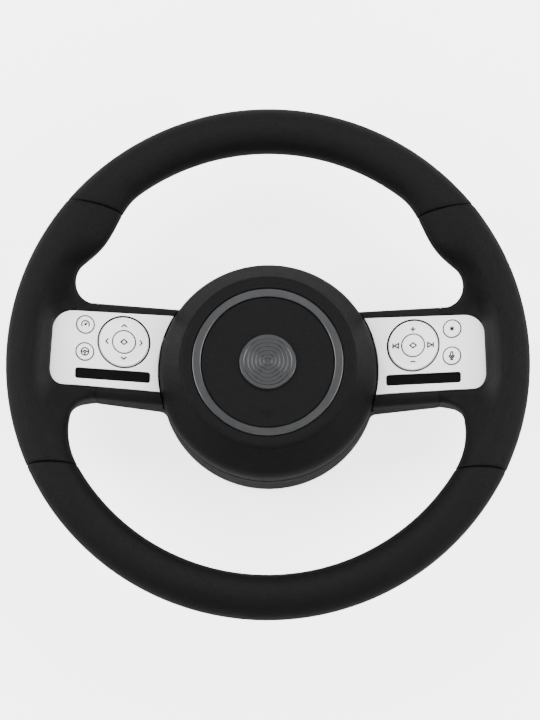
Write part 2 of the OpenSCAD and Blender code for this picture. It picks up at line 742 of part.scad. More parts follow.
module inflator() {
    body_r = stud_at_r - 5.4;
    color("#9a9c9e") difference() {
        rotate_extrude($fn = 96) polygon(concat([[0, 41], [body_r - 4.6, 41]],
            arc([body_r - 4.6, 43.5], 2.5, -60, 0, 3),
            [[body_r - 2.1, can_floor - 1.6], [stud_at_r + 4, can_floor - 1.6],
             [stud_at_r + 4, can_floor], [body_r, can_floor]],
            arc([body_r - 4, 60], 4, 0, 90, 5), [[0, 64]]));
        on_circle_at(stud_at_r, stud_angles) translate([0, 0, can_floor - 3]) cylinder(r = 2.7, h = 5);
        for (a = [0:30:330]) rotate(a) translate([body_r - 4.6, 0, 55]) rotate([0, 90, 0])
            cylinder(r = 1.2, h = 8);
    }
}

module retainer_ring() {
    low = can_floor + can_t;
    color("#9a9c9e") {
        rotate_extrude($fn = 96) translate([stud_at_r - 4, low]) square([12, 1.8]);
        on_circle_at(stud_at_r, stud_angles) translate([0, 0, 40.4]) cylinder(r = 2.5, h = low + 1 - 40.4);
    }
}

module module_nuts() {
    top = can_floor - 1.6;
    color("gray") on_circle_at(stud_at_r, stud_angles) translate([0, 0, top - 3]) difference() {
        cylinder(r = 4.4, h = 3, $fn = 6);
        translate([0, 0, -1]) cylinder(r = 2.55, h = 5);
    }
}

module airbag_cushion() {
    low = can_floor + can_t + 1.8;
    pleats = 5;
    out_r = can_r - 2;
    color("gainsboro") rotate_extrude($fn = 96) polygon(concat(
        [[stud_at_r - 4.8, low], [out_r - 0.4, low]],
        [for (k = [0:pleats - 1]) each [[out_r, low + 1 + k * 3.4], [out_r - 1.2, low + 2.7 + k * 3.4]]],
        [[out_r - 0.4, 69.4], [out_r - 2, 70.8], [0, 70.8], [0, 64.4], [stud_at_r - 4.8, 64.4]]));
}

module guide_pins() {
    color("gray") on_circle_at(pin_at_r, pin_angles) rotate_extrude($fn = 48) polygon([
        [0, plate_low - 3.4], [5, plate_low - 3.4], [5.4, plate_low - 3], [5.4, plate_low],
        [pin_r, plate_low], [pin_r, can_floor + can_t], [4.6, can_floor + can_t],
        [4.2, can_floor + can_t + 1.6], [0, can_floor + can_t + 1.6]]);
}

// A horn spring is a round wire wound at an even pitch, with ends ground level
spring_r = 5.4;
wire_r = 0.7;
spring_turns = 5;
spring_steps = 14;
module horn_spring(angle) {
    low = plate_top + wire_r;
    high = can_floor - wire_r;
    n = spring_turns * spring_steps;
    sides = 6;
    points = [for (k = [0:n], j = [0:sides - 1]) let (a = k * 360 / spring_steps,
        b = j * 360 / sides, r = spring_r + wire_r * cos(b))
        [r * cos(a), r * sin(a), between(low, high, k / n) + wire_r * sin(b)]];
    color("silver") translate([pin_at_r * cos(angle), pin_at_r * sin(angle), 0])
        polyhedron(points = points, faces = concat([[for (j = [0:sides - 1]) j]],
            [for (k = [0:n - 1], j = [0:sides - 1]) let (a = k * sides, b = a + sides,
                m = (j + 1) % sides) [a + j, b + j, b + m, a + m]],
            [[for (j = [sides - 1:-1:0]) n * sides + j]]));
}

armature();
rim_core();
rim_foam();
leather_top();
leather_bottom();
thumb_leather();  // leather_right
mirror([1, 0, 0]) thumb_leather();  // leather_left
rear_cover();
rear_cover_screws();
bezel();  // bezel_right
mirror([1, 0, 0]) bezel();  // bezel_left
slot_inlay();  // slot_inlay_right
mirror([1, 0, 0]) slot_inlay();  // slot_inlay_left
switch_housing();  // switch_housing_right
mirror([1, 0, 0]) switch_housing();  // switch_housing_left
switch_board();  // switch_board_right
mirror([1, 0, 0]) switch_board();  // switch_board_left
housing_screws();
cradle();  // cradle_right
mirror([1, 0, 0]) cradle();  // cradle_left
rocker();  // rocker_right
mirror([1, 0, 0]) rocker();  // rocker_left
center_button();  // center_button_right
mirror([1, 0, 0]) center_button();  // center_button_left
small_button(upper_at);  // upper_button_right
mirror([1, 0, 0]) small_button(upper_at);  // upper_button_left
small_button(lower_at);  // lower_button_right
mirror([1, 0, 0]) small_button(lower_at);  // lower_button_left
horn_contact_lower();
airbag_cover();
trim_ring();
medallion();
airbag_can();
airbag_cushion();
inflator();
retainer_ring();
module_nuts();
guide_pins();
horn_contact_upper();
horn_spring(pin_angles[0]);  // horn_spring_top
horn_spring(pin_angles[1]);  // horn_spring_left
horn_spring(pin_angles[2]);  // horn_spring_right
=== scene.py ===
import json
import math

import bmesh
import bpy
from mathutils import Matrix, Vector


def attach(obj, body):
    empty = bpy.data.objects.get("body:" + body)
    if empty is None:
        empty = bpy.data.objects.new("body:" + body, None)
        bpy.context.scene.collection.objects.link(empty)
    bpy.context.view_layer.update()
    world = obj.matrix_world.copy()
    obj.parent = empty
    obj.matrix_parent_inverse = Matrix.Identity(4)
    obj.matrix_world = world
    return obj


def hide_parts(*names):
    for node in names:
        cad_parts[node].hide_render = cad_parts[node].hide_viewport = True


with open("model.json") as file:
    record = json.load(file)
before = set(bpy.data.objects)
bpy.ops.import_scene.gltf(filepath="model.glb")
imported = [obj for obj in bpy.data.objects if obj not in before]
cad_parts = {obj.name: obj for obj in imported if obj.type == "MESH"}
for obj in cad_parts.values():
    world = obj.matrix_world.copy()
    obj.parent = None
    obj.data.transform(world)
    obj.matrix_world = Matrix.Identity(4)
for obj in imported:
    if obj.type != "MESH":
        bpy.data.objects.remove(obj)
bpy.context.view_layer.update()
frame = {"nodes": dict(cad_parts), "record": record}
record = frame["record"]
mm = 0.001
print("stage: frame loaded")


def newGroup(name, inputs, outputs):
    group = bpy.data.node_groups.new(name, "ShaderNodeTree")
    for label, kind, value in inputs:
        socket = group.interface.new_socket(name=label, in_out="INPUT", socket_type=kind)
        socket.default_value = value
    for label, kind in outputs:
        group.interface.new_socket(name=label, in_out="OUTPUT", socket_type=kind)
    start = group.nodes.new("NodeGroupInput")
    end = group.nodes.new("NodeGroupOutput")
    return group, start, end


def mathNode(tree, operation, a, b=None, clamp=False):
    node = tree.nodes.new("ShaderNodeMath")
    node.operation = operation
    node.use_clamp = clamp
    for index, value in enumerate((a, b)):
        if value is None:
            continue
        if isinstance(value, (int, float)):
            node.inputs[index].default_value = value
        else:
            tree.links.new(value, node.inputs[index])
    return node.outputs[0]


def rampNode(tree, value, stops):
    node = tree.nodes.new("ShaderNodeValToRGB")
    elements = node.color_ramp.elements
    while len(elements) < len(stops):
        elements.new(0.5)
    for element, (place, shade) in zip(elements, stops):
        element.position = place
        element.color = (shade, shade, shade, 1)
    tree.links.new(value, node.inputs[0])
    return node.outputs[0]


def noiseNode(tree, scale, detail, roughness=0.5):
    noise = tree.nodes.new("ShaderNodeTexNoise")
    noise.inputs["Scale"].default_value = scale
    noise.inputs["Detail"].default_value = detail
    noise.inputs["Roughness"].default_value = roughness
    return noise


def axisDistance(tree, split):  # how far a point lies from the steering axis
    square = mathNode(tree, "ADD", mathNode(tree, "POWER", split.outputs[0], 2),
                      mathNode(tree, "POWER", split.outputs[1], 2))
    return mathNode(tree, "SQRT", square)


pebble = {"warpScale": 260, "warp": 0.0009, "fineScale": 4200, "fineShare": 0.22,
          "creaseStops": [(0.0, 0.0), (0.16, 0.75), (0.42, 1.0)]}


def grainGroup():  # rounded pebbles between fine creases, as on grained leather and moulded skins
    group, start, end = newGroup(
        "pebbleGrain", [("Cell", "NodeSocketFloat", 1200.0)],
        [("Height", "NodeSocketFloat"), ("Crease", "NodeSocketFloat")])
    coords = group.nodes.new("ShaderNodeTexCoord")
    warp = noiseNode(group, pebble["warpScale"], 2)
    shift = group.nodes.new("ShaderNodeVectorMath")
    shift.operation = "MULTIPLY_ADD"
    shift.inputs[1].default_value = [pebble["warp"]] * 3
    cells = group.nodes.new("ShaderNodeTexVoronoi")
    cells.feature = "DISTANCE_TO_EDGE"
    fine = noiseNode(group, pebble["fineScale"], 2)
    link = group.links.new
    link(coords.outputs["Object"], warp.inputs["Vector"])
    link(warp.outputs["Color"], shift.inputs[0])
    link(coords.outputs["Object"], shift.inputs[2])
    link(shift.outputs[0], cells.inputs["Vector"])
    link(coords.outputs["Object"], fine.inputs["Vector"])
    link(start.outputs["Cell"], cells.inputs["Scale"])
    crease = rampNode(group, cells.outputs["Distance"], pebble["creaseStops"])
    height = mathNode(group, "ADD", crease,
                      mathNode(group, "MULTIPLY", fine.outputs[0], pebble["fineShare"]))
    link(height, end.inputs["Height"])
    link(crease, end.inputs["Crease"])
    return group


def toneGroup():  # slow cloudy variation, for handling marks and uneven gloss
    group, start, end = newGroup(
        "cloudTone",
        [("Scale", "NodeSocketFloat", 30.0), ("Low", "NodeSocketFloat", 0.9),
         ("High", "NodeSocketFloat", 1.1)],
        [("Value", "NodeSocketFloat")])
    coords = group.nodes.new("ShaderNodeTexCoord")
    noise = noiseNode(group, 1, 5, 0.6)
    spread = group.nodes.new("ShaderNodeMapRange")
    spread.inputs["From Min"].default_value = 0.3
    spread.inputs["From Max"].default_value = 0.7
    link = group.links.new
    link(coords.outputs["Object"], noise.inputs["Vector"])
    link(start.outputs["Scale"], noise.inputs["Scale"])
    link(noise.outputs[0], spread.inputs["Value"])
    link(start.outputs["Low"], spread.inputs["To Min"])
    link(start.outputs["High"], spread.inputs["To Max"])
    link(spread.outputs[0], end.inputs["Value"])
    return group


def wearGroup():  # convex edges polished by use
    group, start, end = newGroup(
        "edgeWear", [("Amount", "NodeSocketFloat", 0.5)], [("Mask", "NodeSocketFloat")])
    geometry = group.nodes.new("ShaderNodeNewGeometry")
    coords = group.nodes.new("ShaderNodeTexCoord")
    noise = noiseNode(group, 220, 4)
    group.links.new(coords.outputs["Object"], noise.inputs["Vector"])
    edge = rampNode(group, geometry.outputs["Pointiness"], [(0.5, 0.0), (0.62, 1.0)])
    broken = mathNode(group, "MULTIPLY", edge, noise.outputs[0])
    mask = mathNode(group, "MULTIPLY", broken, start.outputs["Amount"], clamp=True)
    group.links.new(mask, end.inputs["Mask"])
    return group


def brushGroup():  # fine lines that run round the steering axis
    group, start, end = newGroup(
        "turnedLines", [("Fineness", "NodeSocketFloat", 2600.0)], [("Height", "NodeSocketFloat")])
    coords = group.nodes.new("ShaderNodeTexCoord")
    split = group.nodes.new("ShaderNodeSeparateXYZ")
    join = group.nodes.new("ShaderNodeCombineXYZ")
    noise = noiseNode(group, 1, 3)
    link = group.links.new
    link(coords.outputs["Object"], split.inputs[0])
    radius = axisDistance(group, split)
    link(mathNode(group, "MULTIPLY", radius, start.outputs["Fineness"]), join.inputs[0])
    angle = mathNode(group, "ARCTAN2", split.outputs[1], split.outputs[0])
    link(mathNode(group, "MULTIPLY", angle, 3.0), join.inputs[1])  # the lines are long and broken
    link(join.outputs[0], noise.inputs["Vector"])
    link(noise.outputs[0], end.inputs["Height"])
    return group


def puckerGroup():  # small even folds across a seam, round the grip's own middle line
    group, start, end = newGroup(
        "seamPucker", [("Core", "NodeSocketFloat", 0.169), ("Level", "NodeSocketFloat", 0.073),
                       ("Count", "NodeSocketFloat", 46.0)], [("Height", "NodeSocketFloat")])
    coords = group.nodes.new("ShaderNodeTexCoord")
    split = group.nodes.new("ShaderNodeSeparateXYZ")
    group.links.new(coords.outputs["Object"], split.inputs[0])
    across = mathNode(group, "SUBTRACT", axisDistance(group, split), start.outputs["Core"])
    up = mathNode(group, "SUBTRACT", split.outputs[2], start.outputs["Level"])
    angle = mathNode(group, "ARCTAN2", up, across)
    wave = mathNode(group, "SINE", mathNode(group, "MULTIPLY", angle, start.outputs["Count"]))
    group.links.new(wave, end.inputs["Height"])
    return group


grain = grainGroup()
tone = toneGroup()
wear = wearGroup()
brush = brushGroup()
pucker = puckerGroup()


def placeGroup(tree, group, **values):
    node = tree.nodes.new("ShaderNodeGroup")
    node.node_tree = group
    for label, value in values.items():
        node.inputs[label].default_value = value
    return node


def baseMaterial(name, look):
    material = bpy.data.materials.new(name)
    material.use_nodes = True
    tree = material.node_tree
    shader = tree.nodes["Principled BSDF"]
    for label, value in look.items():
        shader.inputs[label].default_value = value
    return material, tree, shader


def tintedBy(tree, colour, value):
    mix = tree.nodes.new("ShaderNodeMix")
    mix.data_type = "RGBA"
    mix.blend_type = "MULTIPLY"
    mix.inputs["Factor"].default_value = 1
    mix.inputs["A"].default_value = (*colour, 1)
    tree.links.new(value, mix.inputs["B"])
    return mix.outputs["Result"]


def addBump(tree, shader, height, strength, distance):
    bump = tree.nodes.new("ShaderNodeBump")
    bump.inputs["Strength"].default_value = strength
    bump.inputs["Distance"].default_value = distance
    tree.links.new(height, bump.inputs["Height"])
    tree.links.new(bump.outputs[0], shader.inputs["Normal"])


# how much lighter and smoother a worn edge is, and how deep the fine relief is, in m
polish = {"lighter": 0.8, "metalLighter": 0.7, "smoother": 0.12}
relief = {"ripple": 0.0002, "turning": 0.00015}


def grainedMaterial(name, look):
    # grained skin: pebbles in the normal, darker creases, cloudy gloss, polished edges
    material, tree, shader = baseMaterial(name, look["shader"])
    pebbles = placeGroup(tree, grain, Cell=look["cell"])
    clouds = placeGroup(tree, tone, Scale=look["cloud"], Low=1 - look["uneven"],
                        High=1 + look["uneven"])
    edges = placeGroup(tree, wear, Amount=look["wear"])
    height = pebbles.outputs["Height"]
    shade = mathNode(tree, "MULTIPLY", clouds.outputs["Value"], mathNode(
        tree, "ADD", mathNode(tree, "MULTIPLY", pebbles.outputs["Crease"], look["crease"]),
        1 - look["crease"]))
    if "seam" in look:  # folds beside a seam, and painted shade where its groove falls dark, by the attribute seamNear
        seam = tree.nodes.new("ShaderNodeAttribute")
        seam.attribute_name = "seamNear"
        near = mathNode(tree, "POWER", seam.outputs["Fac"], 2)
        folds = mathNode(tree, "MULTIPLY", placeGroup(tree, pucker).outputs["Height"], near)
        height = mathNode(tree, "ADD", height, mathNode(tree, "MULTIPLY", folds, look["seam"]))
        # painted shade: the leather's colour darkens towards the seam
        shade = mathNode(tree, "MULTIPLY", shade, mathNode(
            tree, "SUBTRACT", 1, mathNode(tree, "MULTIPLY", near, look["seamShade"])))
    addBump(tree, shader, height, look["bump"], look["depth"])
    lit = mathNode(tree, "ADD", shade,
                   mathNode(tree, "MULTIPLY", edges.outputs["Mask"], polish["lighter"]))
    tree.links.new(tintedBy(tree, look["colour"], lit), shader.inputs["Base Color"])
    rough = mathNode(tree, "MULTIPLY", clouds.outputs["Value"], look["rough"])
    rough = mathNode(tree, "SUBTRACT", rough, mathNode(
        tree, "MULTIPLY", edges.outputs["Mask"], polish["smoother"]), clamp=True)
    tree.links.new(rough, shader.inputs["Roughness"])
    return material


def smoothMaterial(name, look):
    # moulded or coated surface: fine ripple in the normal, cloudy gloss, polished edges
    material, tree, shader = baseMaterial(name, look["shader"])
    clouds = placeGroup(tree, tone, Scale=look["cloud"], Low=1 - look["uneven"],
                        High=1 + look["uneven"])
    edges = placeGroup(tree, wear, Amount=look["wear"])
    coords = tree.nodes.new("ShaderNodeTexCoord")
    ripple = noiseNode(tree, look["ripple"], 3)
    tree.links.new(coords.outputs["Object"], ripple.inputs["Vector"])
    addBump(tree, shader, ripple.outputs[0], look["bump"], relief["ripple"])
    lit = mathNode(tree, "ADD", clouds.outputs["Value"], mathNode(
        tree, "MULTIPLY", edges.outputs["Mask"], look["edgeLight"]))
    tree.links.new(tintedBy(tree, look["colour"], lit), shader.inputs["Base Color"])
    rough = mathNode(tree, "MULTIPLY", clouds.outputs["Value"], look["rough"], clamp=True)
    tree.links.new(rough, shader.inputs["Roughness"])
    return material


def turnedMaterial(name, look):
    # metal with turning lines round the steering axis
    material, tree, shader = baseMaterial(name, look["shader"])
    lines = placeGroup(tree, brush, Fineness=look["fineness"])
    clouds = placeGroup(tree, tone, Scale=look["cloud"], Low=1 - look["uneven"],
                        High=1 + look["uneven"])
    edges = placeGroup(tree, wear, Amount=look["wear"])
    addBump(tree, shader, lines.outputs["Height"], look["bump"], relief["turning"])
    lit = mathNode(tree, "ADD", clouds.outputs["Value"], mathNode(
        tree, "MULTIPLY", edges.outputs["Mask"], polish["metalLighter"]))
    tree.links.new(tintedBy(tree, look["colour"], lit), shader.inputs["Base Color"])
    rough = mathNode(
        tree, "ADD", mathNode(tree, "MULTIPLY", lines.outputs["Height"], look["streak"]),
        look["rough"] - look["streak"] / 2)
    tree.links.new(rough, shader.inputs["Roughness"])
    return material


materials = {
    "leather": grainedMaterial("leather", {
        "shader": {"Specular IOR Level": 0.075}, "colour": (0.0026, 0.0026, 0.0028), "cell": 1050,
        "cloud": 45, "uneven": 0.12, "wear": 0.3, "bump": 0.4, "depth": 0.0004, "crease": 0.35,
        "rough": 0.5, "seam": 0.8, "seamShade": 0.55}),
    "coverPlastic": grainedMaterial("coverPlastic", {
        "shader": {"Specular IOR Level": 0.065}, "colour": (0.003, 0.003, 0.0032), "cell": 900,
        "cloud": 25, "uneven": 0.06, "wear": 0.25, "bump": 0.4, "depth": 0.0004, "crease": 0.3,
        "rough": 0.52}),
    "rearPlastic": grainedMaterial("rearPlastic", {
        "shader": {"Specular IOR Level": 0.08}, "colour": (0.0032, 0.0032, 0.0034), "cell": 1300,
        "cloud": 25, "uneven": 0.06, "wear": 0.3, "bump": 0.35, "depth": 0.0003, "crease": 0.2,
        "rough": 0.6}),
    "whitePlastic": smoothMaterial("whitePlastic", {
        "shader": {"Specular IOR Level": 0.5}, "colour": (0.83, 0.83, 0.832), "cloud": 40,
        "uneven": 0.02, "wear": 0.1, "ripple": 900, "bump": 0.03, "edgeLight": 0.05,
        "rough": 0.3}),
    "blackGloss": smoothMaterial("blackGloss", {
        "shader": {"Specular IOR Level": 0.2}, "colour": (0.002, 0.002, 0.0022), "cloud": 60,
        "uneven": 0.1, "wear": 0.3, "ripple": 700, "bump": 0.03, "edgeLight": 1.0, "rough": 0.1}),
    "trimMetal": turnedMaterial("trimMetal", {
        "shader": {"Metallic": 1.0}, "colour": (0.055, 0.056, 0.058), "fineness": 2600,
        "cloud": 30, "uneven": 0.08, "wear": 0.5, "bump": 0.12, "rough": 0.36, "streak": 0.16}),
    "steel": turnedMaterial("steel", {
        "shader": {"Metallic": 1.0}, "colour": (0.5, 0.5, 0.51), "fineness": 1600, "cloud": 80,
        "uneven": 0.08, "wear": 0.4, "bump": 0.2, "rough": 0.38, "streak": 0.16}),
    "castAlloy": smoothMaterial("castAlloy", {
        "shader": {"Metallic": 1.0}, "colour": (0.55, 0.56, 0.57), "cloud": 90, "uneven": 0.12,
        "wear": 0.5, "ripple": 500, "bump": 0.5, "edgeLight": 0.3, "rough": 0.5}),
    "foam": smoothMaterial("foam", {
        "shader": {"Specular IOR Level": 0.1}, "colour": (0.003, 0.003, 0.003), "cloud": 120,
        "uneven": 0.2, "wear": 0.1, "ripple": 1500, "bump": 0.6, "edgeLight": 0.1, "rough": 0.85}),
    "darkPlastic": smoothMaterial("darkPlastic", {
        "shader": {"Specular IOR Level": 0.3}, "colour": (0.008, 0.008, 0.0085), "cloud": 60,
        "uneven": 0.08, "wear": 0.3, "ripple": 900, "bump": 0.15, "edgeLight": 0.4,
        "rough": 0.55}),
    "board": smoothMaterial("board", {
        "shader": {"Specular IOR Level": 0.5}, "colour": (0.02, 0.12, 0.045), "cloud": 200,
        "uneven": 0.15, "wear": 0.3, "ripple": 900, "bump": 0.1, "edgeLight": 0.4, "rough": 0.3}),
    "brass": smoothMaterial("brass", {
        "shader": {"Metallic": 1.0}, "colour": (0.72, 0.53, 0.26), "cloud": 90, "uneven": 0.1,
        "wear": 0.4, "ripple": 600, "bump": 0.1, "edgeLight": 0.3, "rough": 0.3}),
    "canSteel": smoothMaterial("canSteel", {
        "shader": {"Specular IOR Level": 0.5}, "colour": (0.05, 0.053, 0.057), "cloud": 70,
        "uneven": 0.1, "wear": 0.5, "ripple": 700, "bump": 0.1, "edgeLight": 1.5, "rough": 0.4}),
    "airbagCloth": grainedMaterial("airbagCloth", {
        "shader": {"Specular IOR Level": 0.3}, "colour": (0.7, 0.69, 0.66), "cell": 1800,
        "cloud": 50, "uneven": 0.08, "wear": 0.1, "bump": 0.4, "depth": 0.0003, "crease": 0.2,
        "rough": 0.8}),
    "cradlePlastic": smoothMaterial("cradlePlastic", {
        "shader": {"Specular IOR Level": 0.4}, "colour": (0.04, 0.04, 0.04), "cloud": 60,
        "uneven": 0.04, "wear": 0.2, "ripple": 900, "bump": 0.1, "edgeLight": 0.1, "rough": 0.45}),
    "greyPrint": smoothMaterial("greyPrint", {
        "shader": {"Specular IOR Level": 0.2}, "colour": (0.004, 0.004, 0.0044), "cloud": 90,
        "uneven": 0.05, "wear": 0.1, "ripple": 900, "bump": 0.03, "edgeLight": 0.1, "rough": 0.4}),
}
finishOfSlot = {
    "alloy": "castAlloy", "foam": "foam", "leather": "leather", "rear_plastic": "rearPlastic",
    "cover_plastic": "coverPlastic", "white_plastic": "whitePlastic", "black_gloss": "blackGloss",
    "housing_plastic": "darkPlastic", "board": "board", "steel": "steel", "contact": "brass",
    "trim_metal": "trimMetal", "can_steel": "canSteel", "airbag_cloth": "airbagCloth",
    "spring_steel": "steel", "cradle_plastic": "cradlePlastic"}
for part in record["subparts"]:
    node = frame["nodes"][part["node"]]
    node.data.materials.clear()
    node.data.materials.append(materials[finishOfSlot[part["material_slot"]]])
print("stage: materials on", len(record["subparts"]), "nodes")

# angles in degrees, lengths in mm, scale in pixels per mm, the centre and the image in pixels
view = {"elevation": 76.58, "azimuth": 3.62, "roll": 0.87, "distance": 5500.0, "scale": 1.418,
        "targetHeight": 73.0, "centreX": 267.85, "centreY": 363.0, "imageWidth": 540,
        "imageHeight": 720, "sensor": 36}


def placeCamera():
    e, a, roll = (math.radians(view[k]) for k in ("elevation", "azimuth", "roll"))
    back = Vector((math.sin(a) * math.cos(e), -math.cos(a) * math.cos(e), math.sin(e)))
    right = Vector((0, 1, 0)).cross(back).normalized()
    up = back.cross(right)
    side = math.cos(roll) * right + math.sin(roll) * up
    top = math.cos(roll) * up - math.sin(roll) * right
    data = bpy.data.cameras.new("studioCamera")
    camera = bpy.data.objects.new("studioCamera", data)
    bpy.context.collection.objects.link(camera)
    target = Vector((0, 0, view["targetHeight"] * mm))
    matrix = Matrix((side, top, back)).transposed().to_4x4()
    matrix.translation = target + back * view["distance"] * mm
    camera.matrix_world = matrix
    data.sensor_fit = "VERTICAL"
    data.sensor_height = view["sensor"]
    data.lens = view["scale"] * view["distance"] / view["imageHeight"] * data.sensor_height
    half = view["imageHeight"] / 2
    data.shift_x = (view["imageWidth"] / 2 - view["centreX"]) / view["imageHeight"]
    data.shift_y = (view["centreY"] - half) / view["imageHeight"]
    data.clip_start = 0.1
    data.clip_end = 50
    data.dof.use_dof = False
    bpy.context.scene.camera = camera


placeCamera()

# each box is (name, place and size in m, watts)
light = {"zenith": 0.3, "horizon": 0.5, "fadeFrom": 0.15, "fadeTo": 0.95, "aim": (0, 0, 0.03),
         "floorSize": 6, "floorDrop": 0.3, "floorShade": 0.93, "floorGlow": 2.6,
         "floorMirrored": 0.25,  # the share of the floor's light that reflections show
         "boxes": [("softTop", (0.2, 1.7, 1.9), (2.4, 1.8), 98),
                   ("softLeft", (-2.0, 0.2, 1.3), (2.0, 2.2), 118),
                   ("softRight", (2.0, 0.1, 1.3), (2.0, 2.2), 100),
                   ("softFront", (0.1, -1.7, 1.7), (2.4, 1.4), 34)]}


def placeFloor():
    bm = bmesh.new()
    bmesh.ops.create_grid(bm, x_segments=1, y_segments=1, size=light["floorSize"])
    drop = (0, 0, -light["floorDrop"] * mm)  # clear of the hub's rear face
    bmesh.ops.translate(bm, verts=bm.verts, vec=drop)
    mesh = bpy.data.meshes.new("studioFloor")
    bm.to_mesh(mesh)
    bm.free()
    floor = bpy.data.objects.new("studioFloor", mesh)
    bpy.context.collection.objects.link(floor)
    material, tree, shader = baseMaterial("palePaper", {
        "Roughness": 0.9, "Specular IOR Level": 0.1, "Emission Color": (1, 1, 1, 1)})
    clouds = placeGroup(tree, tone, Scale=3.0, Low=0.995, High=1.0)
    path = tree.nodes.new("ShaderNodeLightPath")  # reflections see a dimmer floor
    held = mathNode(tree, "MULTIPLY", path.outputs["Is Glossy Ray"], 1 - light["floorMirrored"])
    seen = mathNode(tree, "SUBTRACT", 1, held)
    shade = light["floorShade"]
    tree.links.new(tintedBy(tree, (shade, shade, shade), mathNode(
        tree, "MULTIPLY", clouds.outputs["Value"], seen)), shader.inputs["Base Color"])
    tree.links.new(mathNode(tree, "MULTIPLY", seen, light["floorGlow"]),
                   shader.inputs["Emission Strength"])
    mesh.materials.append(material)


def areaLight(name, place, target, size, power):
    data = bpy.data.lights.new(name, "AREA")
    data.shape = "RECTANGLE"
    data.size, data.size_y = size
    data.energy = power
    lamp = bpy.data.objects.new(name, data)
    lamp.location = place
    lamp.rotation_euler = (Vector(target) - Vector(place)).to_track_quat("-Z", "Y").to_euler()
    bpy.context.collection.objects.link(lamp)


def placeLights():
    world = bpy.data.worlds.new("studioWorld")
    bpy.context.scene.world = world
    world.use_nodes = True
    tree = world.node_tree
    background = tree.nodes["Background"]
    coords = tree.nodes.new("ShaderNodeTexCoord")
    split = tree.nodes.new("ShaderNodeSeparateXYZ")
    fade = tree.nodes.new("ShaderNodeMapRange")
    fade.interpolation_type = "SMOOTHSTEP"
    fade.inputs["From Min"].default_value = light["fadeFrom"]
    fade.inputs["From Max"].default_value = light["fadeTo"]
    fade.inputs["To Min"].default_value = light["horizon"]
    fade.inputs["To Max"].default_value = light["zenith"]
    tree.links.new(coords.outputs["Generated"], split.inputs[0])
    tree.links.new(split.outputs[2], fade.inputs["Value"])
    tree.links.new(fade.outputs[0], background.inputs[1])
    background.inputs[0].default_value = (1, 1, 1, 1)
    for name, place, size, power in light["boxes"]:
        areaLight(name, place, light["aim"], size, power)


placeFloor()
placeLights()
print("stage: camera, floor and light")


def makeObject(name, bm, material, body, smoothAngle=35.0):
    mesh = bpy.data.meshes.new(name)
    bm.to_mesh(mesh)
    bm.free()
    mesh.materials.append(material)
    mesh.shade_smooth()
    mesh.set_sharp_from_angle(angle=math.radians(smoothAngle))
    piece = bpy.data.objects.new(name, mesh)
    bpy.context.collection.objects.link(piece)
    if body:
        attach(piece, body)
    return piece


def addLoop(bm, points):
    verts = [bm.verts.new(Vector(p) * mm) for p in points]
    return [bm.edges.new((a, b)) for a, b in zip(verts, verts[1:] + verts[:1])]


def bridgeLoops(bm, loops):
    for a, b in zip(loops, loops[1:]):
        bmesh.ops.bridge_loops(bm, edges=a + b)


def raiseFaces(bm, faces, height):
    # gives flat faces a height, as one closed solid
    grown = bmesh.ops.extrude_face_region(bm, geom=faces)
    top = [g for g in grown["geom"] if isinstance(g, bmesh.types.BMVert)]
    bmesh.ops.translate(bm, verts=top, vec=(0, 0, height * mm))


def ease(t):
    return (1 + math.cos(math.pi * min(1, max(0, t)))) / 2


def rounding(d, r):
    s = 1 - min(1, max(0, d / r))
    return r * (1 - math.sqrt(max(0, 1 - s * s)))


def mixOf(a, b, t):
    return a + (b - a) * t


# the rim, the spokes' ends and the leather on them, in mm and degrees
rim = {
    "radius": 185.0, "grip": 32.2, "height": 73.0, "leather": 1.3,
    "swell": 9.0, "swellAngle": 36.0, "swellHalf": 17.0,
    "rootX": 121.5, "spokeTopY": 46.8, "spokeLowY": -22.5, "spokeLowZ": 28.0,
    "upperFillet": 13.5, "lowerFillet": 17.5, "filletFrom": 50.0,
    "crownDrop": 20.0, "bellyDrop": 45.0, "edgeTopR": 6.0, "edgeLowR": 10.0, "wallA": 20.0,
    "crownRoom": 2.0, "bellyRoom": 0.6, "turnRoom": 2.0,
    "upSeamOut": 38.9, "upSeamIn": 45.3, "lowSeamY": 76.0, "seamGap": 0.4,
    "seamRound": 1.6, "seamDepth": 1.0, "seamReach": 4.5,
    "seamLip": 0.3,  # the lining is set back by this, so that the ends close
    # where each run of ribs starts on the outer edge, and when the spoke's form sets in
    "runs": (25.0, 9.0, 0.0, -16.5), "lead": 0.35, "heelEase": 0.6,
}
# length in mm and number of ribs of each run of leather, and the ribs beside a seam
strip = {
    "top": (285.0, 60), "bottom": (400.0, 84), "swell": (55.0, 30), "heel": (40.0, 22),
    "upper": 28, "face": 20, "lower": 24, "nearSeam": (0.0, 0.12, 0.3, 0.6, 1.0, 1.6),
    "clear": 2.2, "evenTimes": 2, "evenShare": 0.4, "evenFrom": 9.0, "evenKeep": 8,
    "sharpAngle": 50}
pad = {"x": 102.4, "y": 18.3, "z": 55.0, "tilt": 11.0, "proud": 0.8}
gripR = rim["grip"] / 2
coreR = rim["radius"] - gripR
rimIn = rim["radius"] - rim["grip"]


def polar(radius, degrees):
    return Vector((radius * math.cos(math.radians(degrees)),
                   radius * math.sin(math.radians(degrees))))


upperC = Vector((rim["rootX"] + 2, rim["spokeTopY"] + rim["upperFillet"]))
lowerC = Vector((rim["rootX"], rim["spokeLowY"] - rim["lowerFillet"]))
upCorner = upperC + polar(rim["upperFillet"], rim["filletFrom"])
lowCorner = Vector((lowerC.x + rim["lowerFillet"], lowerC.y))
upCornerA = math.degrees(math.atan2(upCorner.y, upCorner.x))
lowCornerA = math.degrees(math.atan2(lowCorner.y, lowCorner.x))


def lowSeamOut(t):
    return -math.degrees(math.asin(rim["lowSeamY"] / (rim["radius"] - t)))


def lowSeamIn(t):
    return -math.degrees(math.asin(rim["lowSeamY"] / (rimIn + t)))


def frameHeight(x):
    return pad["z"] + (x - pad["x"]) * math.tan(math.radians(pad["tilt"])) - pad["proud"]


